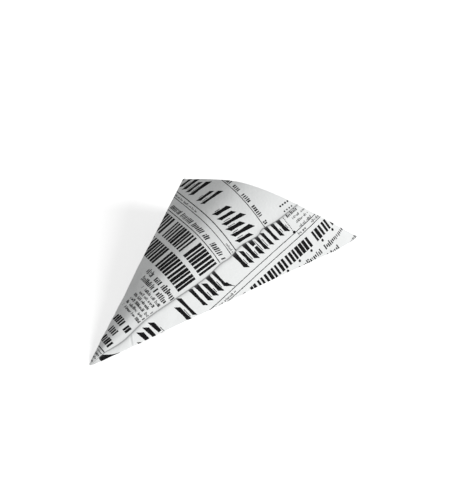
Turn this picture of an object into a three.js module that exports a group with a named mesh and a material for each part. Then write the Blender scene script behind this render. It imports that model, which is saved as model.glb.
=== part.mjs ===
// Paper serving cone: one sheet folded flat, glued along a lap, opened and lying on its back panel.
// Every straight line of the paper runs from the tip, so the form is a section and a few lengths.
import * as THREE from "three";

// Driving dimensions in millimetres and degrees
const shortFold = 190; // tip to mouth along the short fold
const panelAngle = 42.3; // angle of each flat panel at the tip
const paper = 0.1; // sheet thickness
const seamAngle = 29.9; // short fold to the free edge of the top layer
const lapWidth = 18; // top layer over bottom layer, at the mouth
const edgeSwing = 1.8; // furthest that the free edge wanders from its straight line
const tipCut = 2; // the point where all lines meet to the blunt end

// How the free edge wanders: share of its length from the tip, share of the swing to the short fold
const freeEdge = new THREE.SplineCurve([
  new THREE.Vector2(0, 0),
  new THREE.Vector2(0.05, 0.6),
  new THREE.Vector2(0.14, -0.6),
  new THREE.Vector2(0.26, 0.7),
  new THREE.Vector2(0.38, 0.1),
  new THREE.Vector2(0.52, -0.8),
  new THREE.Vector2(0.61, 0.05),
  new THREE.Vector2(0.65, -0.3),
  new THREE.Vector2(0.72, 0.95),
  new THREE.Vector2(0.79, -0.15),
  new THREE.Vector2(0.83, 1),
  new THREE.Vector2(0.89, 0),
  new THREE.Vector2(1, 0.1),
]);

// Section across the opened cone at unit distance from the tip: x to the short fold, y up
const longFoldPoint = new THREE.Vector2(-0.327, 0.037);
const crownPoints = [
  new THREE.Vector2(-0.235, 0.15),
  new THREE.Vector2(-0.127, 0.248),
  new THREE.Vector2(-0.03, 0.294),
  new THREE.Vector2(0.06, 0.304),
  new THREE.Vector2(0.187, 0.279),
];
const shortFoldPoint = new THREE.Vector2(0.327, 0.237);
const wallBulge = 0.02; // outward bow of the wall under the short fold
const floorEnd = -0.24; // where the resting strip ends beside the long fold
const heelLimits = [0.04, 0.3]; // the other end of the strip lies between these
const lapShare = 0.4; // the free edge swings over no more of the lap than this
const pointRoom = 1.5; // room between the folds where the hollow starts, in fold thicknesses

// Fineness of the mesh
const columnStep = 1.25; // degrees between straight lines
const foldMargin = 2.5; // degrees left plain beside each fold
const rowCount = 5; // rows along a plain line
const seamRowCount = 72; // rows along the lines beside the free edge
const curveSteps = 300; // samples of each section curve

const radians = Math.PI / 180;
const lapAngle = Math.atan((lapWidth * Math.cos(seamAngle * radians)) / shortFold) / radians;

// Distance from the tip to the mouth, which is cut square to the short fold
function mouthAt(angleFromShortFold) {
  return shortFold / Math.cos(angleFromShortFold * radians);
}

// From the long fold over the crown to the short fold
function frontCurves() {
  return [new THREE.SplineCurve([longFoldPoint, ...crownPoints, shortFoldPoint])];
}

// From the short fold down the wall to the heel, along the resting strip, up to the long fold
function backCurves(heel) {
  const heelPoint = new THREE.Vector2(heel, 0);
  const floorEndPoint = new THREE.Vector2(floorEnd, 0);
  const wall = new THREE.CubicBezierCurve(
    shortFoldPoint,
    new THREE.Vector2(shortFoldPoint.x - wallBulge, shortFoldPoint.y / 2),
    new THREE.Vector2((shortFoldPoint.x + heel) / 2, 0),
    heelPoint
  );
  const strip = new THREE.LineCurve(heelPoint, floorEndPoint);
  const lip = new THREE.QuadraticBezierCurve(
    floorEndPoint,
    new THREE.Vector2((floorEnd + longFoldPoint.x) / 2, 0),
    longFoldPoint
  );
  return [wall, strip, lip];
}

// Straight lines of one panel as directions, with the sheet angle travelled to each
function layPanel(curves, spread) {
  const rays = [];
  for (const curve of curves) {
    const points = curve.getPoints(curveSteps);
    if (rays.length > 0) points.shift();
    for (const point of points) {
      rays.push(new THREE.Vector3(1, point.x * spread, point.y * spread).normalize());
    }
  }
  const angles = [0];
  for (let i = 1; i < rays.length; i++) {
    angles.push(angles[i - 1] + rays[i].angleTo(rays[i - 1]) / radians);
  }
  return { rays, angles, total: angles[angles.length - 1] };
}

// Direction and outward normal of the line at a sheet angle along a panel
function lineAt(panel, angle) {
  const last = panel.rays.length - 1;
  const travelled = (angle / panelAngle) * panel.total;
  let i = 0;
  while (i < last - 1 && panel.angles[i + 1] < travelled) i++;
  const share = (travelled - panel.angles[i]) / (panel.angles[i + 1] - panel.angles[i]);
  const ray = panel.rays[i].clone().lerp(panel.rays[i + 1], share).normalize();
  const along = panel.rays[i + 1].clone().sub(panel.rays[i]);
  return { ray, normal: new THREE.Vector3().crossVectors(ray, along).normalize() };
}

// The cone opens until its front panel spans the flat angle
let spread = 1;
for (let pass = 0; pass < 8; pass++) {
  spread *= panelAngle / layPanel(frontCurves(), spread).total;
}
const front = layPanel(frontCurves(), spread);

// The heel lies where the back panel uses up the same angle
let [heelLow, heelHigh] = heelLimits;
for (let pass = 0; pass < 30; pass++) {
  const middle = (heelLow + heelHigh) / 2;
  if (layPanel(backCurves(middle), spread).total < panelAngle) heelLow = middle;
  else heelHigh = middle;
}
const back = layPanel(backCurves(heelLow), spread);

// At a fold both panels share a mitred normal, so that the inside keeps its distance from each
function foldBetween(before, beforeAngle, after, afterAngle) {
  const first = lineAt(before, beforeAngle);
  const second = lineAt(after, afterAngle);
  const mitre = first.normal.clone().add(second.normal);
  mitre.divideScalar(1 + first.normal.dot(second.normal));
  return { ray: first.ray, normal: mitre };
}
const longFold = foldBetween(back, panelAngle, front, 0);
const shortFoldLine = foldBetween(front, panelAngle, back, 0);

// Inside, the point is filled up to where a fold has room for both layers
const foldRoom = Math.max(longFold.normal.length(), shortFoldLine.normal.length()) * paper;
const cavityStart = tipCut + (pointRoom * foldRoom) / Math.sin(foldMargin * radians);

const edgePoints = freeEdge.getPoints(curveSteps);

// Rows from the blunt end to the mouth, the first of them outside only
function rowsTo(mouth, count) {
  const rows = [tipCut];
  for (let row = 0; row <= count; row++) {
    rows.push(cavityStart + ((mouth - cavityStart) * row) / count);
  }
  return rows;
}

// Height of the top layer over the plain surface: one sheet on the lap, then easing down to none
function liftAt(angleFromSeam) {
  const past = THREE.MathUtils.clamp(angleFromSeam / lapAngle - 1, 0, 1);
  return paper * (1 - past * past * (3 - 2 * past));
}

// A column is one line of the sheet, with its height on each side of it, outside and inside
function plainColumn(line, mouth, outside, inside, count = rowCount) {
  const rows = rowsTo(mouth, count).map((r) => ({ r, key: (r - tipCut) / (mouth - tipCut), ...line }));
  return { rows, outside, inside };
}

function frontColumn(angle, outside, inside, count) {
  return plainColumn(lineAt(front, angle), mouthAt(panelAngle - angle), outside, inside, count);
}

function anglesBetween(start, end) {
  const count = Math.max(1, Math.round((end - start) / columnStep));
  return Array.from({ length: count + 1 }, (_, i) => start + ((end - start) * i) / count);
}

function swingAt(share) {
  let i = 1;
  while (i < edgePoints.length - 1 && edgePoints[i].x < share) i++;
  const [before, after] = [edgePoints[i - 1], edgePoints[i]];
  return edgeSwing * THREE.MathUtils.mapLinear(share, before.x, after.x, before.y, after.y);
}

// The free edge of the top layer, which keeps on the lap where that is narrow near the tip
function seamColumn() {
  const mouth = mouthAt(seamAngle);
  const rows = rowsTo(mouth, seamRowCount).map((distance, row) => {
    const room = lapShare * distance * Math.tan(lapAngle * radians);
    const swing = THREE.MathUtils.clamp(swingAt(distance / mouth), -room, room);
    const angle = panelAngle - seamAngle + Math.atan(swing / distance) / radians;
    const atMouth = row === seamRowCount + 1;
    const r = atMouth ? mouthAt(panelAngle - angle) : Math.hypot(distance, swing);
    return { r, key: (distance - tipCut) / (mouth - tipCut), ...lineAt(front, angle) };
  });
  return { rows, outside: [0, paper], inside: [-paper, -paper] };
}

// All columns in order round the cone: long fold, front, short fold, back
function sheetColumns() {
  const seam = panelAngle - seamAngle;
  const beforeSeam = seam - lapAngle / 2;
  const afterSeam = seam + lapAngle / 2;
  const lapEnd = seam + lapAngle;
  const flush = [0, 0];
  const under = [-paper, -paper];
  const over = [paper, paper];
  const backAngles = anglesBetween(foldMargin, panelAngle - foldMargin);
  return [
    plainColumn(longFold, mouthAt(panelAngle), flush, under),
    ...anglesBetween(foldMargin, beforeSeam).slice(0, -1).map((angle) => frontColumn(angle, flush, under)),
    frontColumn(beforeSeam, flush, under, seamRowCount),
    seamColumn(),
    frontColumn(afterSeam, over, under, seamRowCount),
    ...anglesBetween(afterSeam, lapEnd).slice(1, -1).map((angle) => frontColumn(angle, over, under)),
    frontColumn(lapEnd, over, [-paper, 0]),
    ...anglesBetween(lapEnd, panelAngle - foldMargin).slice(1).map((angle) => {
      const lift = liftAt(angle - seam);
      return frontColumn(angle, [lift, lift], [lift - paper, lift - paper]);
    }),
    plainColumn(shortFoldLine, mouthAt(0), flush, under),
    ...backAngles.map((angle) => plainColumn(lineAt(back, angle), mouthAt(angle), flush, under)),
  ];
}

const positions = [];
const triangles = [];

// Vertices down one side of a column, each with the key that matches it to its neighbours
function addVertices(rows, height) {
  return rows.map(({ r, key, ray, normal }) => {
    const point = ray.clone().multiplyScalar(r).addScaledVector(normal, height);
    positions.push(point.x, point.y, point.z);
    return { index: positions.length / 3 - 1, key };
  });
}

function addSides(rows, [before, after]) {
  const first = addVertices(rows, before);
  return before === after ? [first] : [first, addVertices(rows, after)];
}

// Corners in order as seen from outside the paper
function addTriangle(a, b, c) {
  triangles.push(a.index, b.index, c.index);
}

// Fills the strip between two columns, which may have different numbers of rows
function addStrip(left, right) {
  let i = 0;
  let j = 0;
  while (i < left.length - 1 || j < right.length - 1) {
    const leftNext = i < left.length - 1 ? left[i + 1].key : Infinity;
    const rightNext = j < right.length - 1 ? right[j + 1].key : Infinity;
    if (leftNext < rightNext) {
      addTriangle(left[i], left[i + 1], right[j]);
      i++;
    } else {
      addTriangle(left[i], right[j + 1], right[j]);
      j++;
    }
  }
}

// One skin of the sheet, with a small wall where a layer ends
function addSkin(sides) {
  sides.forEach((own, i) => {
    if (own.length === 2) addStrip(own[0], own[1]);
    addStrip(own.at(-1), sides[(i + 1) % sides.length][0]);
  });
}

function addFan(hub, corners) {
  for (let i = 1; i < corners.length; i++) addTriangle(hub, corners[i - 1], corners[i]);
}

// Cut edge at the mouth, which takes in the corner where a layer ends
function addMouth(outer, inner) {
  const rim = (sides) => sides.map((rows) => rows.at(-1));
  outer.forEach((own, i) => {
    const [top, base] = [rim(own), rim(inner[i])];
    const nextTop = rim(outer[(i + 1) % outer.length])[0];
    const nextBase = rim(inner[(i + 1) % inner.length]);
    if (top.length === 2) addFan(nextTop, [top[1], top[0], base.at(-1), nextBase[0]]);
    else addFan(top[0], [base.at(-1), ...nextBase, nextTop]);
  });
}

// Closes the tip end of a skin with a fan round its middle
function addTipFace(sides) {
  const ring = sides.flatMap((own) => own.map((rows) => rows[0]));
  const centre = new THREE.Vector3();
  for (const { index } of ring) {
    centre.add(new THREE.Vector3().fromArray(positions, index * 3));
  }
  centre.divideScalar(ring.length);
  positions.push(centre.x, centre.y, centre.z);
  addFan({ index: positions.length / 3 - 1 }, [...ring, ring[0]]);
}

// The inner skin is built like the outer one and then faces the other way
function turnOver(from) {
  for (let i = from; i < triangles.length; i += 3) {
    [triangles[i + 1], triangles[i + 2]] = [triangles[i + 2], triangles[i + 1]];
  }
}

function paperCone() {
  const columns = sheetColumns();
  const outer = columns.map(({ rows, outside }) => addSides(rows, outside));
  const inner = columns.map(({ rows, inside }) => addSides(rows.slice(1), inside));
  addSkin(outer);
  addTipFace(outer);
  const outerCount = triangles.length;
  addSkin(inner);
  addTipFace(inner);
  turnOver(outerCount);
  addMouth(outer, inner);

  const geometry = new THREE.BufferGeometry();
  geometry.setAttribute("position", new THREE.Float32BufferAttribute(positions, 3));
  geometry.setIndex(triangles);
  geometry.computeVertexNormals();
  return geometry;
}

const whitePaper = new THREE.MeshStandardMaterial({ color: 0xe9e9e6, roughness: 0.75, metalness: 0 });
const cone = new THREE.Mesh(paperCone(), whitePaper);
cone.name = "paper_cone";

// The origin is under the middle of the cone, on the surface that it lies on
const extent = new THREE.Box3().setFromObject(cone);
const middle = extent.getCenter(new THREE.Vector3());
cone.position.set(-middle.x, -middle.y, -extent.min.z);

const group = new THREE.Group();
group.add(cone);
export default group;
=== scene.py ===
# Paper serving cone: one thin printed sheet, folded, lapped and lying on its back
import math
import random
from functools import partial

import bpy
import numpy as np
from mathutils import Matrix, Vector, noise


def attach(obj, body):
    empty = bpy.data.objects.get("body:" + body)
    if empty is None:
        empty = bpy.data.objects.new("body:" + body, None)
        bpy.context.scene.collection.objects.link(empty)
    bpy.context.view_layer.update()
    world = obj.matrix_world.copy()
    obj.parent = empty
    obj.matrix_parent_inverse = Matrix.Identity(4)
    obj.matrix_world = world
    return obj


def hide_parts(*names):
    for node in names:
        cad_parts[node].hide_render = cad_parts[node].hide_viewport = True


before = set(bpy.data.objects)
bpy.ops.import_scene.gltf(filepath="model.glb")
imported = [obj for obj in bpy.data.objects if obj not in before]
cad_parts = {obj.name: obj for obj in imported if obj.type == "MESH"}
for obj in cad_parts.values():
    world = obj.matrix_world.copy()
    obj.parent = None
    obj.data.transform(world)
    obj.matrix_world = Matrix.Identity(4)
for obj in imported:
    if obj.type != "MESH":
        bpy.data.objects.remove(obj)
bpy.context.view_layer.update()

scene = bpy.context.scene
scene.view_settings.view_transform = "Standard"

# Metres, and degrees at the tip. Points of the section are across and up, at unit distance from the tip.
sheet = {
    "apex": (-0.1227804, 0.0112522, 0.0),  # where all straight lines of the paper meet
    "shortFold": 0.190,  # tip to mouth along the short fold
    "panelAngle": 42.3,  # each flat panel at the tip
    "seamAngle": 29.9,  # short fold to the free edge
    "lapWidth": 0.018,  # overlap at the mouth
    "paper": 0.0001,
    "tipCut": 0.002,
    "tipPaper": (0.01, 0.2),  # the paper thins within this length of the tip, to this share
    "tipPress": (0.12, 0.006),  # layers pressed together at the tip: share of the height left, length
    # section across the opened cone
    "longFoldPoint": (-0.327, 0.037),
    "crown": [(-0.235, 0.15), (-0.127, 0.248), (-0.03, 0.294), (0.06, 0.304), (0.187, 0.279)],
    "shortFoldPoint": (0.327, 0.237),
    "wallBulge": 0.02,
    "floorEnd": -0.24,
    "heelLimits": (0.04, 0.3),
    "spreadSteps": 8,
    "heelSteps": 30,
    "curveSteps": 400,
    "foldRounding": 0.16,  # degrees either side of a crease
    # the free edge: share of its length from the tip, share of the swing
    "freeEdge": [
        (0, 0), (0.05, 0.6), (0.14, -0.6), (0.26, 0.7), (0.38, 0.1), (0.52, -0.8), (0.61, 0.05),
        (0.65, -0.3), (0.72, 0.95), (0.79, -0.15), (0.83, 1), (0.89, 0), (1, 0.1),
    ],
    "edgeSwing": 0.0018,  # how far the free edge wanders
    "edgeRoom": 0.4,  # share of the lap that the swing may take near the tip
    "edgeNick": 0.00012,  # small unevenness of its cut
    "edgeNickRate": 90,
    "edgeLift": (0.0004, 0.001),  # gap under the free edge, least and most
    "edgeLiftRate": 7,
    "edgeLiftStart": 0.15,  # share of the length over which the gap opens
    "edgeLiftReach": 0.0016,
    "layerGap": 1.15,  # top layer above the lower one, in sheets
    "lapShadeLine": (0.0004, 0.0009),  # width of the dark line at the free edge, on the top layer and below: painted shade along the lifted edge and painted contact shadow under it, with some grey of the cut edge
    "lapShadeLineTip": (0.025, 0.15),  # it narrows within this length of the tip, to this share
    "lapShadeLineStart": 0.015,
    # the swell of the long fold: share of its length, share of the bulge
    "swell": [
        (0, 0.1), (0.012, 0.28), (0.03, 0.36), (0.1, 0.45), (0.25, 0.6), (0.6, 0.6), (0.7, 0.65), (0.78, 0.8),
        (0.85, 0.97), (0.9, 1), (0.95, 0.75), (0.975, 0.45), (1, 0),
    ],
    "bulge": 0.0034,  # the long fold swells outwards by the mouth
    "bulgeReach": 6.0,  # degrees
    "ear": 0.0045,  # corner of the back layer that stands beyond the front one
    "earStart": 0.6,  # degrees past the short fold
    "earReach": 3.0,
    "wave": 0.0004,  # gentle waviness of the panels
    "waveLength": 0.045,
    "waveStart": 0.07,  # none at the tip
    "finerWave": (0.35, 2.7, (7, 3, 1)),  # strength, rate and shift of the smaller waves laid over both kinds
    "crinkle": 0.0003,  # fine unevenness of the handled paper, strongest towards the tip
    "crinkleLength": 0.011,
    "crinkleStart": 0.03,
    "crinkleReach": 0.11,
    "crinkleHold": 0.3,  # share of that reach over which it stays whole
    "crinkleLoss": 0.75,  # share of it that is gone by the mouth
    "crease": ((0.0418, 0.0031), (0.0358, 0.0104)),  # ends of the small crease on the flat page
    "creaseWidth": 0.0009,
    "creaseDepth": 0.0006,
    "pageTurn": (0.8, 1.1),  # degrees that the page is turned at the free edge, and more by the long fold
    # mesh
    "columnStep": 0.6,
    "columnGap": 0.04,  # least step between two columns
    "edgeColumns": (0, 0.05, 0.15, 0.3, 0.5, 0.8, 1.2, 1.7),  # from the free edge
    "plainFrom": 2.3,
    "foldRoom": 0.5,
    "foldColumns": (0.08, 0.16, 0.3),  # either side of a fold
    "lapColumns": (-1.1, -0.75, -0.5, -0.33, -0.2, -0.1, 0, 0.1, 0.25),  # about the seam, on the lower layer
    "rows": 150,
    "fineRows": (0.1301, 0.2101, 26),  # from, to and number of the extra rows by the small crease
    "sharpFrom": 60,  # degrees between faces
    "bakeSpan": 250,  # millimetres of the page
    "bakePlaces": ((0.012, 0.95), (0.99, -0.42)),  # start and scale, of the outside and of the inside
    "seed": 11,
}


def smooth(value):
    value = np.clip(value, 0, 1)
    return value * value * (3 - 2 * value)


def splinePoints(points):  # Catmull-Rom through the points
    known = np.array(points, float)
    padded = np.vstack([known[:1], known, known[-1:]])
    place = np.linspace(0, len(known) - 1, sheet["curveSteps"] + 1)
    i = np.minimum(place.astype(int), len(known) - 2)
    t = (place - i)[:, None]
    before, start, end, after = (padded[i + k] for k in range(4))
    out, into = (end - before) / 2, (after - start) / 2
    bend = 2 * start - 2 * end + out + into
    return bend * t**3 + (3 * end - 3 * start - 2 * out - into) * t**2 + out * t + start


def bezierPoints(points):
    t = np.linspace(0, 1, sheet["curveSteps"] + 1)[:, None]
    n = len(points) - 1
    return sum(math.comb(n, k) * t**k * (1 - t) ** (n - k) * np.array(p) for k, p in enumerate(points))


def backSection(heel):  # from the short fold down the wall, along the floor, up to the long fold
    across, up = sheet["shortFoldPoint"]
    farAcross, farUp = sheet["longFoldPoint"]
    floorEnd = sheet["floorEnd"]
    wall = bezierPoints([
        (across, up), (across - sheet["wallBulge"], up / 2), ((across + heel) / 2, 0), (heel, 0),
    ])
    strip = bezierPoints([(heel, 0), (floorEnd, 0)])
    lip = bezierPoints([(floorEnd, 0), ((floorEnd + farAcross) / 2, 0), (farAcross, farUp)])
    return np.vstack([wall, strip[1:], lip[1:]])


def layPanel(points, spread):  # straight lines of a panel, with the sheet angle travelled to each
    rays = np.column_stack([np.ones(len(points)), points * spread])
    rays /= np.linalg.norm(rays, axis=1)[:, None]
    turns = np.degrees(np.arccos(np.clip((rays[1:] * rays[:-1]).sum(axis=1), -1, 1)))
    return rays, np.concatenate([[0], np.cumsum(turns)])


# The front is spread until it takes one flat panel, then the heel moves until the back takes one too
frontSection = splinePoints([sheet["longFoldPoint"], *sheet["crown"], sheet["shortFoldPoint"]])
spread = 1.0
for _ in range(sheet["spreadSteps"]):
    spread *= sheet["panelAngle"] / layPanel(frontSection, spread)[1][-1]
front = layPanel(frontSection, spread)

heelLow, heelHigh = sheet["heelLimits"]
for _ in range(sheet["heelSteps"]):
    middle = (heelLow + heelHigh) / 2
    if layPanel(backSection(middle), spread)[1][-1] < sheet["panelAngle"]:
        heelLow = middle
    else:
        heelHigh = middle
back = layPanel(backSection(heelLow), spread)

# Angles round the sheet, from the free edge on top to the edge hidden under it
shortFoldAt = sheet["seamAngle"]
longFoldAt = shortFoldAt + sheet["panelAngle"]
seamAt = 2 * sheet["panelAngle"]
lapAcross = sheet["lapWidth"] * math.cos(math.radians(shortFoldAt))
lapAngle = math.degrees(math.atan(lapAcross / sheet["shortFold"]))
sheetEnd = seamAt + lapAngle
print("panels laid: one sheet of", round(sheetEnd, 2), "degrees at the tip")


def rayOn(panel, angles):
    rays, travelled = panel
    place = angles / sheet["panelAngle"] * travelled[-1]
    return np.column_stack([np.interp(place, travelled, rays[:, k]) for k in range(3)])


def sharpRays(angles):  # direction of the sheet's line at each angle
    top = rayOn(front, seamAt - longFoldAt + angles)
    under = rayOn(back, angles - shortFoldAt)
    low = rayOn(front, angles - longFoldAt)
    first, second = (angles < shortFoldAt)[:, None], (angles < longFoldAt)[:, None]
    return np.where(first, top, np.where(second, under, low))


def sheetRays(angles):  # the same with the creases slightly rounded
    half = sheet["foldRounding"] / 2
    rays = sum(sharpRays(np.clip(angles + half * k, -lapAngle, sheetEnd)) for k in range(-2, 3))
    return rays / np.linalg.norm(rays, axis=1)[:, None]


def sheetNormals(angles):  # outward, square to the sheet
    step = sheet["foldRounding"] / 3
    across = np.cross(sheetRays(angles - step), sheetRays(angles + step))
    return across / np.linalg.norm(across, axis=1)[:, None]


def mouthAt(angles):  # square to the short fold, with a small ear where the back layer was cut longer
    past = np.maximum(angles - shortFoldAt, 0)
    ear = sheet["ear"] * smooth(past / sheet["earStart"]) * np.exp(-((past / sheet["earReach"]) ** 2))
    return sheet["shortFold"] / np.cos(np.radians(sheet["panelAngle"] - np.abs(angles - longFoldAt))) + ear


def sheetColumns():  # closer together at the free edge, the folds and the lap
    room = sheet["foldRoom"]
    stops = list(sheet["edgeColumns"])
    spans = (
        (sheet["plainFrom"], shortFoldAt - room),
        (shortFoldAt + room, longFoldAt - room),
        (longFoldAt + room, sheetEnd),
    )
    for a, b in spans:
        stops += list(np.linspace(a, b, round((b - a) / sheet["columnStep"]) + 1))
    for fold in (shortFoldAt, longFoldAt):
        stops += [fold + side * k for side in (-1, 1) for k in sheet["foldColumns"]] + [fold]
    stops += [seamAt + k for k in sheet["lapColumns"]]
    stops = np.array(sorted(stops))
    return stops[np.concatenate([[True], np.diff(stops) > sheet["columnGap"]])]


def bendOf(points, amount, length):  # waviness shared by both layers of the lap
    strength, rate, shift = sheet["finerWave"]

    def heightAt(p):
        p = Vector(p) / length
        return noise.noise(p) + strength * noise.noise(p * rate + Vector(shift))

    flat = points.reshape(-1, 3)
    return np.array([heightAt(p) for p in flat]).reshape(points.shape[:2]) * amount


def noiseAlong(share, rate, shift, row):  # uneven from tip to mouth
    return np.array([noise.noise(Vector((part * rate + shift, row, 0))) for part in share])


def smallCrease(page, angles):
    start, end = (np.array(p) for p in sheet["crease"])
    reach = end - start
    along = ((page - start) @ reach) / (reach @ reach)
    aside = np.cross(reach, page - start) / np.linalg.norm(reach) / sheet["creaseWidth"]
    shown = smooth(2.5 - 5 * np.abs(along - 0.5)) * (angles > longFoldAt)  # fades out at both ends
    return sheet["creaseDepth"] * aside * np.exp(-aside * aside) * shown


def paperSheet():
    columns = sheetColumns()
    share = np.sort(np.concatenate([np.linspace(0, 1, sheet["rows"]), np.linspace(*sheet["fineRows"])]))
    edge = splinePoints(sheet["freeEdge"])
    random.seed(sheet["seed"])
    shift = random.uniform(0, 50)

    def distance(length):
        return sheet["tipCut"] + (length - sheet["tipCut"]) * share[None, :]

    # the free edge wanders, and the lines beside it follow
    fromTip = distance(mouthAt(columns)[:, None])[0]
    swing = np.interp(share, edge[:, 0], edge[:, 1]) * sheet["edgeSwing"]
    swing += noiseAlong(share, sheet["edgeNickRate"], shift, 0) * sheet["edgeNick"]
    room = sheet["edgeRoom"] * fromTip * math.tan(math.radians(lapAngle))
    swung = np.degrees(np.arctan(np.clip(swing, -room, room) / fromTip))
    fromSeam = np.minimum(columns, np.abs(columns - seamAt))
    follow = np.clip(1 - fromSeam / (lapAngle / 2), 0, 1)
    angles = columns[:, None] + follow[:, None] * swung[None, :]
    r = distance(mouthAt(angles))
    atEdge, byFold = sheet["pageTurn"]
    turn = np.radians(angles + atEdge + byFold * smooth((angles - shortFoldAt) / sheet["panelAngle"]))
    page = np.stack([r * np.sin(turn), r * np.cos(turn)], -1)

    rays = sheetRays(angles.ravel()).reshape(*angles.shape, 3)
    normals = sheetNormals(angles.ravel()).reshape(rays.shape)
    base = rays * r[..., None]

    # waves, crinkle, the small crease, the swell of the long fold and the pressed tip
    bend = bendOf(base, sheet["wave"], sheet["waveLength"]) * smooth(r / sheet["waveStart"])
    fade = 1 - sheet["crinkleLoss"] * smooth(r / sheet["crinkleReach"] - sheet["crinkleHold"])
    crinkle = bendOf(base, sheet["crinkle"], sheet["crinkleLength"])
    bend += crinkle * smooth(r / sheet["crinkleStart"]) * fade
    base = base + normals * (bend - smallCrease(page, angles))[..., None]
    swell = np.interp(share, *zip(*sheet["swell"])) * sheet["bulge"]
    near = np.exp(-(((columns - longFoldAt) / sheet["bulgeReach"]) ** 2))
    base[..., 1] -= near[:, None] * swell[None, :]
    left, pressed = sheet["tipPress"]
    base[..., 2] *= left + (1 - left) * smooth((r - sheet["tipCut"]) / pressed)
    base[..., 2] = np.maximum(base[..., 2], 0)

    # height of the outer skin: the top layer lies on the lap and its free edge stands off a little
    top = (columns < longFoldAt)[:, None]
    past = smooth(columns / lapAngle - 1)[:, None]
    behindEdge = np.maximum(r * np.radians(angles) - r * np.radians(swung)[None, :], 0)
    low, high = sheet["edgeLift"]
    lift = low + (high - low) * smooth(noiseAlong(share, sheet["edgeLiftRate"], shift, 5) + 0.5)
    lift *= smooth(share / sheet["edgeLiftStart"])
    thinReach, thinShare = sheet["tipPaper"]
    layer = sheet["paper"] * np.clip(r / thinReach, thinShare, 1)
    standing = lift[None, :] * np.exp(-behindEdge / sheet["edgeLiftReach"])
    height = np.where(top, sheet["layerGap"] * layer * (1 - past) + standing, 0)
    outer = base + normals * height[..., None]
    inner = base + normals * (height - layer)[..., None]

    # painted shade: a dark line where the cut edge meets the layer below, standing for the shade of the
    # lifted edge and the contact shadow under it, with some grey of the cut edge itself
    lineReach, lineShare = sheet["lapShadeLineTip"]
    onTop, below = (width * np.clip(r / lineReach, lineShare, 1) for width in sheet["lapShadeLine"])
    ahead = np.maximum(r * np.radians(seamAt + swung[None, :] - angles), 0)
    line = np.where(top, np.exp(-((behindEdge / onTop) ** 2)), np.exp(-ahead / below))
    line = line * smooth(share / sheet["lapShadeLineStart"])[None, :]
    return page, line, outer, inner


def makeSheet(name):
    page, line, outer, inner = paperSheet()
    across, along = line.shape
    count = across * along
    index = np.arange(count).reshape(across, along)
    skin = np.stack([index[:-1, :-1], index[:-1, 1:], index[1:, 1:], index[1:, :-1]], -1).reshape(-1, 4)
    ring = np.concatenate([index[0, :], index[1:, -1], index[-1, -2::-1], index[-2:0:-1, 0]])
    nextRing = np.roll(ring, -1)
    walls = np.stack([nextRing, ring, ring + count, nextRing + count], -1)
    faces = np.concatenate([skin, skin[:, ::-1] + count, walls])
    points = np.concatenate([outer.reshape(-1, 3), inner.reshape(-1, 3)]) + np.array(sheet["apex"])

    mesh = bpy.data.meshes.new(name)
    mesh.from_pydata(points.tolist(), [], faces.tolist())
    mesh.polygons.foreach_set("material_index", [0] * len(skin) + [1] * (len(faces) - len(skin)))
    mesh.polygons.foreach_set("use_smooth", [True] * len(faces))
    mesh.set_sharp_from_angle(angle=math.radians(sheet["sharpFrom"]))

    # the flat page in millimetres, and its two places on the baked picture
    page = page.reshape(-1, 2) * 1000
    corners = faces.ravel()
    pageMap = mesh.uv_layers.new(name="page")
    pageMap.data.foreach_set("uv", page[corners % count].ravel())
    bakeMap = mesh.uv_layers.new(name="OFBake")
    outside, inside = (start + page * scale / sheet["bakeSpan"] for start, scale in sheet["bakePlaces"])
    isOutside = (np.arange(len(corners)) < len(skin) * 4)[:, None]
    places = np.where(isOutside, outside[corners % count], inside[corners % count])
    bakeMap.data.foreach_set("uv", places.ravel())
    # the painted shade line along the free edge, kept on the mesh for the material
    lapShadeLine = mesh.attributes.new("lapShadeLine", "FLOAT", "POINT")
    lapShadeLine.data.foreach_set("value", np.tile(line.ravel(), 2))
    if mesh.validate():
        print("the mesh had to be mended")
    piece = bpy.data.objects.new(name, mesh)
    scene.collection.objects.link(piece)
    return piece


cone = makeSheet("paperSheet")
print("sheet made:", len(cone.data.polygons), "faces")


# Helpers for shader nodes
def mathNode(tree, operation, *values):
    node = tree.nodes.new("ShaderNodeMath")
    node.operation = operation
    for socket, value in zip(node.inputs, values):
        if isinstance(value, (int, float)):
            socket.default_value = value
        else:
            tree.links.new(value, socket)
    return node.outputs[0]


def vectorNode(tree, operation, *values, scale=None):
    node = tree.nodes.new("ShaderNodeVectorMath")
    node.operation = operation
    for socket, value in zip(node.inputs, values):
        if isinstance(value, tuple):
            socket.default_value = value
        else:
            tree.links.new(value, socket)
    if scale is not None:
        tree.links.new(scale, node.inputs["Scale"])
    return node.outputs["Value"] if operation in ("DOT_PRODUCT", "DISTANCE") else node.outputs[0]


def newGroup(name, inputs, outputs):  # each a dictionary of socket names and kinds or default values
    tree = bpy.data.node_groups.new(name, "ShaderNodeTree")
    for label, value in inputs.items():
        kind = value if isinstance(value, str) else "NodeSocketFloat"
        socket = tree.interface.new_socket(label, in_out="INPUT", socket_type=kind)
        if kind != value:
            socket.default_value = value
    for label, kind in outputs.items():
        tree.interface.new_socket(label, in_out="OUTPUT", socket_type=kind)
    return tree, tree.nodes.new("NodeGroupInput").outputs, tree.nodes.new("NodeGroupOutput").inputs


def placeGroup(tree, group, links=None, **values):
    node = tree.nodes.new("ShaderNodeGroup")
    node.node_tree = group
    for label, value in values.items():
        node.inputs[label].default_value = value
    for label, socket in (links or {}).items():
        tree.links.new(socket, node.inputs[label])
    return node


def between(tree, value, low, high):
    above = mathNode(tree, "GREATER_THAN", value, low)
    below = mathNode(tree, "LESS_THAN", value, high)
    return mathNode(tree, "MULTIPLY", above, below)


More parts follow.
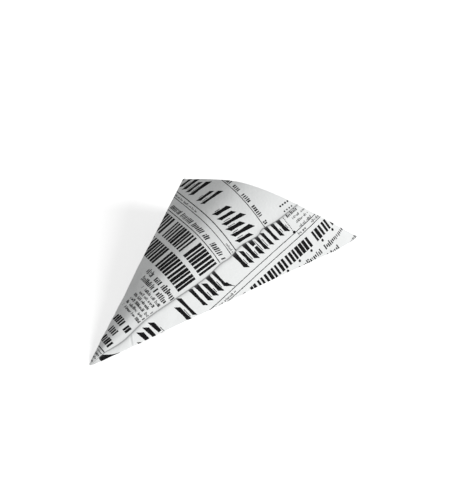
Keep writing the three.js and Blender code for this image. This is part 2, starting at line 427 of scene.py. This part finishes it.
def randomThree(tree, cell, row):  # three random numbers for a cell of a row
    place = tree.nodes.new("ShaderNodeCombineXYZ")
    tree.links.new(cell, place.inputs[0])
    tree.links.new(row, place.inputs[1])
    white = tree.nodes.new("ShaderNodeTexWhiteNoise")
    white.noise_dimensions = "2D"
    tree.links.new(place.outputs[0], white.inputs["Vector"])
    parts = tree.nodes.new("ShaderNodeSeparateColor")
    tree.links.new(white.outputs["Color"], parts.inputs[0])
    return parts.outputs


# How the made-up marks are shaped. Pairs are a random spread and the least value.
markShape = {
    "rowSeedStep": 7.31,
    # dashes, in shares of their pitch or height
    "dashHalf": (0.25, 0.375),
    "dashDrift": (0.2, -0.1),
    "shortFrom": 0.35,  # random values above this stop lower
    "raisedFrom": 0.8,  # random values above this start higher
    "raisedShare": 0.6,
    "breakAt": (0.4, 0.3),
    "breakHalf": 0.06,
    "wordShift": 3.7,
    "wordUneven": (1.9, 0.3),  # rate and strength
    "wordGap": 0.2,
    "leastWord": 0.001,
    # broad-nib bars, in shares of their pitch or height
    "penSlant": 0.1,
    "barCentre": 0.4,
    "barHalf": (0.16, 0.36),
    "barWaist": (0.5, 0.85),
    "cutSlope": 0.8,
    "tallGain": 0.35,
    "lowFrom": 0.9,  # random values above this hang lower
    "lowReach": -0.25,
    "barBreakAt": (0.3, 0.35),
    "barBreakHalf": 0.05,
    "barBreakFrom": 0.85,
    "thinAt": 0.42,
    "thinHalf": 0.05,
    "thinFrom": 0.3,
    "thinFoot": 0.12,
    "thinTop": (0.5, 0.4),
    # tapering strokes
    "taperFullness": (0.88, 0.12),
}


# Rows of upright dashes, as a layout artist marks in type: each dash has its own width and reach
def typeRowsGroup():
    tree, given, out = newGroup(
        "typeRows",
        {"Along": "NodeSocketFloat", "Across": "NodeSocketFloat", "Base": 0.0, "Row Pitch": 10.0, "Rows": 1.0,
         "Height": 3.0, "Pitch": 1.0, "Weight": 0.5, "Slant": 0.0, "Uneven": 0.3, "Split": 0.2, "Word": 0.0,
         "Seed": 0.0},
        {"Ink": "NodeSocketFloat", "Along": "NodeSocketFloat"},
    )
    calc = partial(mathNode, tree)
    rowPlace = calc("DIVIDE", calc("SUBTRACT", given["Across"], given["Base"]), given["Row Pitch"])
    row = calc("FLOOR", rowPlace)
    lastRow = calc("SUBTRACT", given["Rows"], 0.5)
    inRows = calc("MULTIPLY", calc("GREATER_THAN", row, -0.5), calc("LESS_THAN", row, lastRow))
    rise = calc("MULTIPLY", calc("FRACT", rowPlace), given["Row Pitch"])
    rowSeed = calc("ADD", calc("MULTIPLY", row, markShape["rowSeedStep"]), given["Seed"])
    along = calc("ADD", given["Along"], calc("MULTIPLY", rise, given["Slant"]))

    place = calc("DIVIDE", along, given["Pitch"])
    cell = calc("FLOOR", place)
    inCell = calc("SUBTRACT", calc("FRACT", place), 0.5)
    width, reach, split = randomThree(tree, cell, rowSeed)
    half = calc("MULTIPLY", given["Weight"], calc("MULTIPLY_ADD", width, *markShape["dashHalf"]))
    offCentre = calc("SUBTRACT", inCell, calc("MULTIPLY_ADD", split, *markShape["dashDrift"]))
    dash = calc("LESS_THAN", calc("ABSOLUTE", offCentre), half)

    up = calc("DIVIDE", rise, given["Height"])
    shortened = calc("GREATER_THAN", reach, markShape["shortFrom"])
    top = calc("SUBTRACT", 1, calc("MULTIPLY", given["Uneven"], shortened))
    raised = calc("GREATER_THAN", reach, markShape["raisedFrom"])
    low = calc("MULTIPLY", given["Uneven"], calc("MULTIPLY", raised, markShape["raisedShare"]))
    tall = calc("MULTIPLY", calc("GREATER_THAN", up, low), calc("LESS_THAN", up, top))
    fromBreak = calc("ABSOLUTE", calc("SUBTRACT", up, calc("MULTIPLY_ADD", width, *markShape["breakAt"])))
    chosen = calc("LESS_THAN", split, given["Split"])
    broken = calc("MULTIPLY", chosen, calc("LESS_THAN", fromBreak, markShape["breakHalf"]))

    # random words where a word length is given
    rate, strength = markShape["wordUneven"]
    words = calc("ADD", along, calc("MULTIPLY", rowSeed, markShape["wordShift"]))
    words = calc("DIVIDE", words, calc("MAXIMUM", given["Word"], markShape["leastWord"]))
    words = calc("MULTIPLY_ADD", calc("SINE", calc("MULTIPLY_ADD", words, rate, rowSeed)), strength, words)
    hasWords = calc("GREATER_THAN", given["Word"], 0)
    gap = calc("MULTIPLY", calc("LESS_THAN", calc("FRACT", words), markShape["wordGap"]), hasWords)

    ink = calc("MULTIPLY", calc("MULTIPLY", dash, tall), inRows)
    ink = calc("MULTIPLY", ink, calc("SUBTRACT", 1, calc("MAXIMUM", broken, gap)))
    tree.links.new(ink, out["Ink"])
    tree.links.new(along, out["Along"])
    return tree


# Big slanted broad-nib bars with cut ends, and thin bars standing free between some of them
def penRowGroup():
    tree, given, out = newGroup(
        "penRow",
        {"Along": "NodeSocketFloat", "Across": "NodeSocketFloat", "Base": 0.0, "Height": 13.0, "Pitch": 7.0,
         "Weight": 0.62, "Tall": 0.2, "Seed": 0.0},
        {"Ink": "NodeSocketFloat", "Along": "NodeSocketFloat"},
    )
    calc = partial(mathNode, tree)
    rise = calc("SUBTRACT", given["Across"], given["Base"])
    up = calc("DIVIDE", rise, given["Height"])
    along = calc("MULTIPLY_ADD", rise, markShape["penSlant"], given["Along"])
    place = calc("DIVIDE", along, given["Pitch"])
    cell = calc("FLOOR", place)
    x = calc("MULTIPLY", calc("SUBTRACT", calc("FRACT", place), markShape["barCentre"]), given["Pitch"])
    first, second, third = randomThree(tree, cell, given["Seed"])
    waist = calc("ABSOLUTE", calc("SUBTRACT", up, 0.5))  # bars are fuller at their ends
    weight = calc("MULTIPLY", given["Weight"], given["Pitch"])
    half = calc("MULTIPLY", weight, calc("MULTIPLY_ADD", first, *markShape["barHalf"]))
    half = calc("MULTIPLY", half, calc("MULTIPLY_ADD", waist, *markShape["barWaist"]))
    cut = calc("MULTIPLY_ADD", x, markShape["cutSlope"], rise)
    topShare = calc("MULTIPLY_ADD", calc("LESS_THAN", third, given["Tall"]), markShape["tallGain"], 1)
    lowShare = calc("MULTIPLY", calc("GREATER_THAN", third, markShape["lowFrom"]), markShape["lowReach"])
    top, low = calc("MULTIPLY", given["Height"], topShare), calc("MULTIPLY", given["Height"], lowShare)
    bar = calc("MULTIPLY", calc("LESS_THAN", calc("ABSOLUTE", x), half), between(tree, cut, low, top))
    breakAt = calc("MULTIPLY_ADD", second, *markShape["barBreakAt"])
    nearBreak = calc("LESS_THAN", calc("ABSOLUTE", calc("SUBTRACT", up, breakAt)), markShape["barBreakHalf"])
    opened = calc("MULTIPLY", nearBreak, calc("GREATER_THAN", second, markShape["barBreakFrom"]))
    bar = calc("MULTIPLY", bar, calc("SUBTRACT", 1, opened))
    aside = calc("ABSOLUTE", calc("SUBTRACT", x, calc("MULTIPLY", given["Pitch"], markShape["thinAt"])))
    thin = calc("LESS_THAN", aside, calc("MULTIPLY", given["Pitch"], markShape["thinHalf"]))
    thin = calc("MULTIPLY", thin, calc("GREATER_THAN", first, markShape["thinFrom"]))
    thinTop = calc("MULTIPLY_ADD", second, *markShape["thinTop"])
    thin = calc("MULTIPLY", thin, between(tree, up, markShape["thinFoot"], thinTop))
    tree.links.new(calc("MAXIMUM", bar, thin), out["Ink"])
    tree.links.new(along, out["Along"])
    return tree


# A row of round dots
def dotRowGroup():
    tree, given, out = newGroup(
        "dotRow",
        {"Along": "NodeSocketFloat", "Across": "NodeSocketFloat", "Start": 0.0, "Level": 0.0, "Pitch": 10.0,
         "Count": 5.0, "Radius": 1.0},
        {"Ink": "NodeSocketFloat"},
    )
    calc = partial(mathNode, tree)
    fromStart = calc("SUBTRACT", given["Along"], given["Start"])
    nearest = calc("ROUND", calc("DIVIDE", fromStart, given["Pitch"]))
    nearest = calc("MINIMUM", calc("MAXIMUM", nearest, 0), calc("SUBTRACT", given["Count"], 1))
    x = calc("SUBTRACT", fromStart, calc("MULTIPLY", nearest, given["Pitch"]))
    y = calc("SUBTRACT", given["Across"], given["Level"])
    away = calc("SQRT", calc("MULTIPLY_ADD", x, x, calc("MULTIPLY", y, y)))
    tree.links.new(calc("LESS_THAN", away, given["Radius"]), out["Ink"])
    return tree


# One tapering stroke from a thick end to a point
def taperGroup():
    tree, given, out = newGroup(
        "taper",
        {"Page": "NodeSocketVector", "Thick End": "NodeSocketVector", "Reach": "NodeSocketVector",
         "Width": 4.0},
        {"Ink": "NodeSocketFloat"},
    )
    calc, vector = partial(mathNode, tree), partial(vectorNode, tree)
    offset = vector("SUBTRACT", given["Page"], given["Thick End"])
    ahead = vector("DOT_PRODUCT", offset, given["Reach"])
    whole = vector("DOT_PRODUCT", given["Reach"], given["Reach"])
    held = calc("MINIMUM", calc("MAXIMUM", calc("DIVIDE", ahead, whole), 0), 1)
    away = vector("DISTANCE", offset, vector("SCALE", given["Reach"], scale=held))
    left = calc("SUBTRACT", 1, held)
    fullness = calc("MULTIPLY_ADD", calc("MULTIPLY", left, left), *markShape["taperFullness"])
    half = calc("MULTIPLY", calc("MULTIPLY", given["Width"], 0.5), fullness)
    tree.links.new(calc("LESS_THAN", away, half), out["Ink"])
    return tree


# The made-up page, in millimetres. Its second half stands on its head.
pagePrint = {
    "rows": [
        # first half
        dict(kind="type", base=184.7, height=3.7, pitch=1.9, weight=0.62, uneven=0.12, split=0.1,
             words=[(5, 10), (13, 25), (28, 38), (41, 50), (53, 62)]),
        dict(kind="pen", base=156.8, height=14, pitch=5.9, tall=0.25,
             words=[(-8, 18.5), (19.5, 40), (51, 66), (69, 100)]),
        dict(kind="type", base=147.5, height=2.0, pitch=0.9, weight=0.6, word=6,
             words=[(4, 14), (52, 88), (100, 126)]),
        dict(kind="type", base=136.5, height=4.8, pitch=1.9, slant=0.28, weight=0.6, uneven=0.15, split=0.1,
             words=[(4, 6), (8, 21), (24, 30), (32, 45), (48, 62), (65, 80), (83, 101), (104, 120),
                    (124, 140)]),
        dict(kind="type", base=114, height=18, pitch=3.3, weight=0.72, uneven=0, split=0,
             words=[(4, 27.4), (30, 59), (63, 101), (106, 140), (146, 166)]),
        dict(kind="type", base=92, height=18, pitch=3.3, weight=0.72, uneven=0, split=0,
             words=[(4, 35.1), (39.5, 66.3)]),
        dict(kind="type", base=82.6, height=5.6, pitch=1.8, weight=0.68, uneven=0.25,
             words=[(2, 16), (18.5, 26), (28.5, 37.5), (53, 64)]),
        dict(kind="type", base=76, height=4.8, pitch=1.7, weight=0.66, uneven=0.25,
             words=[(3, 14), (16, 17.6), (19.5, 35), (49, 60)]),
        dict(kind="type", base=51, rowPitch=4.1, rows=6, height=2.7, pitch=1.05, weight=0.75, word=8,
             words=[(3, 27.5), (45, 66)]),
        dict(kind="type", base=38.4, height=6.6, pitch=2.5, weight=0.72, uneven=0.1, split=0.1,
             words=[(2.5, 7.5), (10, 22.5), (26, 40)]),
        dict(kind="type", base=29.5, height=5.8, pitch=2.3, weight=0.72, uneven=0.1, split=0.1,
             words=[(8, 17)]),
        dict(kind="type", base=20.5, height=6.4, pitch=2.3, weight=0.72, uneven=0.1, split=0.1,
             words=[(2, 13.8), (17, 26)]),
        dict(kind="type", base=4.6, rowPitch=2.9, rows=4, height=1.8, pitch=1.1, weight=0.6, words=[(1, 9)]),
        dict(kind="type", base=93, rowPitch=4.1, rows=4, height=2.7, pitch=1.05, weight=0.75, word=8,
             words=[(71, 105), (109, 143), (147, 181), (185, 210)]),
        # second half
        dict(kind="pen", flip=True, base=24.2, height=13, pitch=5.9, tall=0.3,
             words=[(43, 66), (81, 97), (98, 132), (147, 199)]),
        dict(kind="type", flip=True, base=33.0, height=2.4, pitch=1.0, weight=0.6, word=7,
             words=[(60, 130), (203, 212), (218, 232)]),
        dict(kind="type", flip=True, base=46.8, height=9, pitch=4.0, weight=0.68, uneven=0, split=0,
             words=[(60, 92), (98, 135), (140, 150), (154, 209), (213, 236)]),
        dict(kind="type", flip=True, base=56.8, height=4.6, pitch=1.9, weight=0.55, uneven=0.3, split=0.1,
             words=[(72, 96), (100, 131), (135, 160), (164, 181), (184, 210), (214, 242)]),
        dict(kind="type", flip=True, base=64.2, height=4.4, pitch=1.9, weight=0.55, uneven=0.3, split=0.1,
             words=[(72, 98), (104, 122), (126, 156), (161, 200), (208, 226)]),
        dict(kind="type", flip=True, base=69.2, height=2.6, pitch=1.4, weight=0.6, uneven=0.2,
             words=[(231, 246)]),
        dict(kind="type", flip=True, base=88.5, rowPitch=4.1, rows=5, height=2.7, pitch=1.05, weight=0.75,
             word=8, words=[(71, 105), (109, 143), (147, 181), (185, 219)]),
        dict(kind="type", flip=True, base=29.0, rowPitch=4.4, rows=3, height=2.2, pitch=1.0, weight=0.6,
             word=6, words=[(207, 222)]),
        dict(kind="type", flip=True, base=16.2, rowPitch=4.2, rows=2, height=3.2, pitch=1.5, weight=0.6,
             words=[(204, 216)]),
    ],
    "rules": [  # across, from, to, thickness
        (183.6, 4, 70, 0.7), (151.5, 3, 130, 0.8), (146.2, 3, 130, 0.6), (134.5, 3, 150, 0.7),
        (16.4, 1, 12, 0.9), (29.3, 70, 240, 0.6), (34.0, 70, 240, 0.6), (112.2, 69, 200, 0.6),
        (91.0, 69, 230, 0.6),
    ],
    "dots": [  # start, across, pitch, count, radius, upright row
        (81.3, 48.9, 13.6, 12, 1.15, False),
        (12.5, 201.3, 1.55, 10, 0.5, True),
        (28.6, 201.3, 5, 1, 1.3, True),
        (205.5, 10.6, 2.6, 4, 0.85, True),
        (206.0, 5.2, 2.6, 4, 0.7, True),
    ],
    "tapers": [  # thick end, reach, width
        ((12.6, 2.6, 0), (12.5, 4.6, 0), 5.4),
        ((127.5, 23.5, 0), (4.5, 5.2, 0), 3.2),
    ],
    "seedStep": 5.7,
    "boldFrom": 8,  # print taller than this shows through
}
typeRows, penRow, dotRow, taper = typeRowsGroup(), penRowGroup(), dotRowGroup(), taperGroup()


def placeRow(tree, row, seed, along, across):
    base = -row["base"] if row.get("flip") else row["base"]
    sockets = {"Along": along, "Across": across}
    values = {"Base": base, "Height": row["height"], "Pitch": row["pitch"], "Seed": seed}
    if row["kind"] == "pen":
        return placeGroup(tree, penRow, sockets, **values, Tall=row["tall"])
    values |= {
        "Weight": row["weight"], "Slant": row.get("slant", 0), "Uneven": row.get("uneven", 0.35),
        "Split": row.get("split", 0.15), "Word": row.get("word", 0), "Rows": row.get("rows", 1),
        "Row Pitch": row.get("rowPitch", row["height"] * 1.01),
    }
    return placeGroup(tree, typeRows, sockets, **values)


def pageGroup(name, boldOnly=False):
    tree, given, out = newGroup(name, {"Page": "NodeSocketVector"}, {"Ink": "NodeSocketFloat"})
    calc = partial(mathNode, tree)
    parts = tree.nodes.new("ShaderNodeSeparateXYZ")
    tree.links.new(given["Page"], parts.inputs[0])
    along, across = parts.outputs[0], parts.outputs[1]
    turned = calc("MULTIPLY", across, -1)
    inks = []
    for number, row in enumerate(pagePrint["rows"]):
        if boldOnly and row["height"] <= pagePrint["boldFrom"]:
            continue
        rowAcross = turned if row.get("flip") else across
        node = placeRow(tree, row, number * pagePrint["seedStep"], along, rowAcross)
        snapped = [[round(end / row["pitch"]) * row["pitch"] for end in word] for word in row["words"]]
        mask = None
        for word in snapped:
            shown = between(tree, node.outputs["Along"], *word)
            mask = calc("ADD", mask, shown) if mask else shown
        inks.append(calc("MULTIPLY", node.outputs["Ink"], mask))
    if not boldOnly:
        for level, start, end, thickness in pagePrint["rules"]:
            line = calc("LESS_THAN", calc("ABSOLUTE", calc("SUBTRACT", across, level)), thickness / 2)
            inks.append(calc("MULTIPLY", line, between(tree, along, start, end)))
        for start, level, pitch, count, radius, upright in pagePrint["dots"]:
            sockets = {"Along": across, "Across": along} if upright else {"Along": along, "Across": across}
            values = {"Start": start, "Level": level, "Pitch": pitch, "Count": count, "Radius": radius}
            inks.append(placeGroup(tree, dotRow, sockets, **values).outputs[0])
        for thickEnd, reach, width in pagePrint["tapers"]:
            values = {"Thick End": thickEnd, "Reach": reach, "Width": width}
            inks.append(placeGroup(tree, taper, {"Page": given["Page"]}, **values).outputs[0])
    ink = inks[0]
    for other in inks[1:]:
        ink = calc("MAXIMUM", ink, other)
    tree.links.new(ink, out["Ink"])
    return tree


newsPage = pageGroup("newsPage")
showThrough = pageGroup("showThrough", boldOnly=True)  # only the boldest print is seen from inside
print("page drawn:", len(pagePrint["rows"]), "rows of print")


paperLook = {
    "tone": (0.847, 0.86, 0.857, 1),
    "ink": (0.005, 0.005, 0.0055, 1),
    "edgeShadeAndGrey": (0.16, 0.16, 0.165, 1),  # colour of the painted shade line at the free edge, with some grey of the cut edge
    "edgeShadeStrength": 0.85,
    "showThrough": 0.06,
    "roughness": 0.75,
    "specular": 0.06,
    "bump": 0.6,
    "bumpDepth": 0.00012,
    # noise, by its scale on the page and its detail
    "cloud": (0.12, 3),
    "fibre": (2.2, 4),
    "fibreStretch": (1, 0.35, 1),
    "crumple": (0.5, 2),
    "crumpleHeight": 2.5,
    "bleed": (1.4, 2),  # unevenness of the print's edges
    "bleedReach": 0.5,
    "starvedFrom": 0.62,  # fibres above this take less ink
    "starvedLoss": 0.05,
}


# Cloudy, fibrous paper: a mottled tone, a height, and an unevenness for the ink to follow
def paperFibreGroup():
    tree, given, out = newGroup(
        "paperFibre",
        {"Page": "NodeSocketVector", "Tone": "NodeSocketColor", "Cloud": 0.07, "Fibre": 0.09},
        {"Color": "NodeSocketColor", "Height": "NodeSocketFloat", "Page": "NodeSocketVector",
         "Ink Hold": "NodeSocketFloat"},
    )
    calc, vector = partial(mathNode, tree), partial(vectorNode, tree)

    def noiseNode(scale, detail, stretch=(1, 1, 1)):
        mapping = tree.nodes.new("ShaderNodeMapping")
        mapping.inputs["Scale"].default_value = stretch
        tree.links.new(given["Page"], mapping.inputs["Vector"])
        node = tree.nodes.new("ShaderNodeTexNoise")
        node.inputs["Scale"].default_value = scale
        node.inputs["Detail"].default_value = detail
        tree.links.new(mapping.outputs[0], node.inputs["Vector"])
        return node.outputs

    cloud = noiseNode(*paperLook["cloud"])["Fac"]
    fibre = noiseNode(*paperLook["fibre"], paperLook["fibreStretch"])["Fac"]
    crumple = noiseNode(*paperLook["crumple"])["Fac"]
    cloudy = calc("MULTIPLY", calc("SUBTRACT", cloud, 0.5), given["Cloud"])
    fibrous = calc("MULTIPLY", calc("SUBTRACT", fibre, 0.5), given["Fibre"])
    level = calc("ADD", calc("ADD", cloudy, fibrous), 1)
    tree.links.new(vector("SCALE", given["Tone"], scale=level), out["Color"])
    tree.links.new(calc("MULTIPLY_ADD", crumple, paperLook["crumpleHeight"], fibre), out["Height"])
    bleed = paperLook["bleedReach"]
    wander = noiseNode(*paperLook["bleed"])["Color"]
    moved = vector("MULTIPLY_ADD", wander, (bleed, bleed, 0.0), given["Page"])
    tree.links.new(vector("ADD", moved, (-bleed / 2, -bleed / 2, 0.0)), out["Page"])
    raised = calc("GREATER_THAN", fibre, paperLook["starvedFrom"])
    starved = calc("MULTIPLY", raised, paperLook["starvedLoss"])
    tree.links.new(calc("SUBTRACT", 1, starved), out["Ink Hold"])
    return tree


paperFibre = paperFibreGroup()


def mixNode(tree, factor, under, over):  # colour laid over another
    node = tree.nodes.new("ShaderNodeMix")
    node.data_type = "RGBA"
    tree.links.new(factor, node.inputs[0])
    tree.links.new(under, node.inputs[6])
    node.inputs[7].default_value = over
    return node.outputs[2]


def paperMaterial(name, printGroup, printStrength, edgeShadeStrength=0):
    material = bpy.data.materials.new(name)
    material.use_nodes = True
    tree = material.node_tree
    shader = tree.nodes["Principled BSDF"]
    shader.inputs["Roughness"].default_value = paperLook["roughness"]
    shader.inputs["Specular IOR Level"].default_value = paperLook["specular"]
    pageMap = tree.nodes.new("ShaderNodeUVMap")
    pageMap.uv_map = "page"
    fibre = placeGroup(tree, paperFibre, {"Page": pageMap.outputs[0]}, Tone=paperLook["tone"])
    news = placeGroup(tree, printGroup, {"Page": fibre.outputs["Page"]})
    held = mathNode(tree, "MULTIPLY", news.outputs["Ink"], fibre.outputs["Ink Hold"])
    inked = mathNode(tree, "MULTIPLY", held, printStrength)
    tone = mixNode(tree, inked, fibre.outputs["Color"], paperLook["ink"])
    # painted shade: the contact shadow and shaded lifted edge at the seam darken the paper's colour, with
    # some grey of the cut edge
    if edgeShadeStrength:
        line = tree.nodes.new("ShaderNodeAttribute")
        line.attribute_name = "lapShadeLine"
        dark = mathNode(tree, "MULTIPLY", line.outputs["Fac"], edgeShadeStrength)
        tone = mixNode(tree, dark, tone, paperLook["edgeShadeAndGrey"])
    tree.links.new(tone, shader.inputs["Base Color"])
    bump = tree.nodes.new("ShaderNodeBump")
    bump.inputs["Strength"].default_value = paperLook["bump"]
    bump.inputs["Distance"].default_value = paperLook["bumpDepth"]
    tree.links.new(fibre.outputs["Height"], bump.inputs["Height"])
    tree.links.new(bump.outputs[0], shader.inputs["Normal"])
    return material


cone.data.materials.append(paperMaterial("printedPaper", newsPage, 1, paperLook["edgeShadeStrength"]))
cone.data.materials.append(paperMaterial("plainPaper", showThrough, paperLook["showThrough"]))

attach(cone, "root")
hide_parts("paper_cone")
print("paper finished: printed outside, plain inside")

# Camera, light and floor
studio = {
    "lens": 72,
    "sensor": 36,
    "elevation": 44,
    "turn": 50.1,
    "offset": (-0.11001, -0.08911, -0.76608),  # tip as the camera sees it
    "keyDirection": (0.3, -0.85, 0.43),
    "keyStrength": 2.62,
    "keySize": 30,
    "ambient": 0.3,
    "floorHalf": 4,
    "floorDrop": 0.0002,
    "floorColor": (0.8, 0.8, 0.8, 1),
    "floorGlow": 0.62,  # what the floor adds for the camera, so that it is white and keeps a pale shadow
}


def viewAxes():
    turn, rise = math.radians(studio["turn"]), math.radians(studio["elevation"])
    right = Vector((math.cos(turn), -math.sin(turn), 0))
    up = Vector((math.sin(turn) * math.sin(rise), math.cos(turn) * math.sin(rise), math.cos(rise)))
    return right, up, right.cross(up)


cameraData = bpy.data.cameras.new("camera")
cameraData.lens = studio["lens"]
cameraData.sensor_width = studio["sensor"]
camera = bpy.data.objects.new("camera", cameraData)
scene.collection.objects.link(camera)
axes = viewAxes()
place = Vector(sheet["apex"]) - sum((axis * amount for axis, amount in zip(axes, studio["offset"])), Vector())
camera.matrix_world = Matrix.Translation(place) @ Matrix(axes).transposed().to_4x4()
scene.camera = camera

sun = bpy.data.lights.new("key", "SUN")
sun.energy = studio["keyStrength"]
sun.angle = math.radians(studio["keySize"])
key = bpy.data.objects.new("key", sun)
key.rotation_mode = "QUATERNION"
key.rotation_quaternion = Vector(studio["keyDirection"]).to_track_quat("Z", "Y")
scene.collection.objects.link(key)


def seenRays(tree):  # 1 for the rays that show the surroundings, 0 for those that light the cone
    path = tree.nodes.new("ShaderNodeLightPath")
    seen = path.outputs["Is Camera Ray"]
    for label in ("Is Glossy Ray", "Is Transmission Ray"):
        seen = mathNode(tree, "MAXIMUM", seen, path.outputs[label])
    return seen


world = bpy.data.worlds.new("studio")
scene.world = world
world.use_nodes = True
surround = world.node_tree.nodes["Background"]
surround.inputs["Color"].default_value = (1, 1, 1, 1)
level = world.node_tree.nodes.new("ShaderNodeMapRange")
level.inputs["To Min"].default_value = studio["ambient"]
level.inputs["To Max"].default_value = 1
world.node_tree.links.new(seenRays(world.node_tree), level.inputs["Value"])
world.node_tree.links.new(level.outputs["Result"], surround.inputs["Strength"])

floorMesh = bpy.data.meshes.new("floor")
half = studio["floorHalf"]
corners = [(x * half, y * half, -studio["floorDrop"]) for x, y in ((-1, -1), (1, -1), (1, 1), (-1, 1))]
floorMesh.from_pydata(corners, [], [(0, 1, 2, 3)])
floor = bpy.data.objects.new("floor", floorMesh)
scene.collection.objects.link(floor)
floorPaint = bpy.data.materials.new("floorPaint")
floorPaint.use_nodes = True
floorMesh.materials.append(floorPaint)
paint = floorPaint.node_tree.nodes["Principled BSDF"].inputs
paint["Base Color"].default_value = studio["floorColor"]
paint["Roughness"].default_value = 1
paint["Specular IOR Level"].default_value = 0
paint["Emission Color"].default_value = (1, 1, 1, 1)
glow = mathNode(floorPaint.node_tree, "MULTIPLY", seenRays(floorPaint.node_tree), studio["floorGlow"])
floorPaint.node_tree.links.new(glow, paint["Emission Strength"])
print("studio set: camera, key light and floor")
